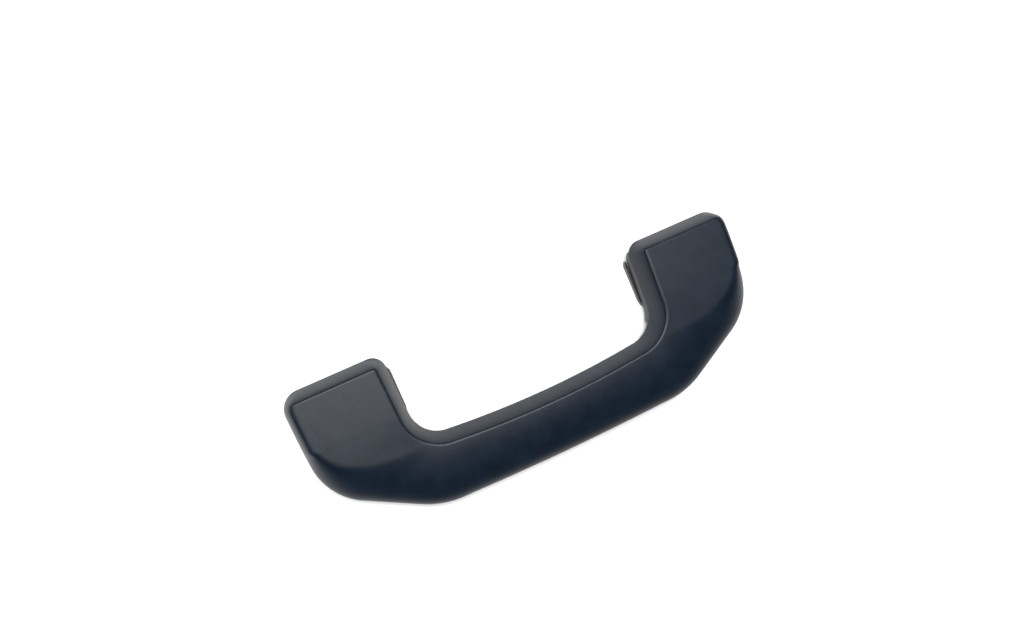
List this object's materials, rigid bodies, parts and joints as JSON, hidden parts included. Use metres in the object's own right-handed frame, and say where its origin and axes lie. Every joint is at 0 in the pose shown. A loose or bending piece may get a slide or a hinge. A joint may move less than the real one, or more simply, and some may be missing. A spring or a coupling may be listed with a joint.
{
  "type": "roof grab handle",
  "caption": "Retractable roof grab handle for a car: a U-shaped hollow moulding with two broad feet and a rounded grip bar on sprung and damped hinge brackets.",
  "frame": {"origin": "midway between the two screw holes, on the plane where the brackets meet the roof", "axes": "+Z out of the roof towards the cabin, X along the handle, the grip bar towards -Y"},
  "size_m": [0.215, 0.0742, 0.022],
  "materials": {
    "soft_charcoal": "fine mottled soft-touch grain, matte",
    "hard_charcoal": "fine grain, matte",
    "glass_filled_grey": "glass-filled moulding, matte",
    "black_nylon": "black moulding, matte",
    "natural_nylon": "natural nylon, satin",
    "black_rubber": "matte",
    "zinc_steel": "zinc plated",
    "bright_steel": "ground",
    "spring_steel": "drawn wire"
  },
  "bodies": {
    "mounting": {"left_bracket": "black_nylon", "right_bracket": "black_nylon", "left_sleeve": "zinc_steel", "right_sleeve": "zinc_steel", "left_cap": "hard_charcoal", "right_cap": "hard_charcoal", "pivot_washers": "natural_nylon", "stop_pads": "black_rubber", "return_spring": "spring_steel", "damper_body": "black_nylon", "damper_ring": "black_rubber", "damper_lid": "black_nylon"},
    "handle": {"front_shell": "soft_charcoal", "back_shell": "hard_charcoal", "carrier": "glass_filled_grey", "shell_screws": "zinc_steel", "rest_bumpers": "black_rubber", "left_pin": "bright_steel", "right_pin": "bright_steel", "spring_spool": "natural_nylon", "damper_rotor": "natural_nylon"}
  },
  "joints": [
    {"name": "handle_swing", "type": "hinge", "parent": "mounting", "child": "handle", "pos_m": [0, 0.017, 0.0105], "axis": [-1, 0, 0], "range_deg": [0, 90], "stiffness_Nm_per_rad": 0.06, "springref_deg": -20.05}
  ]
}
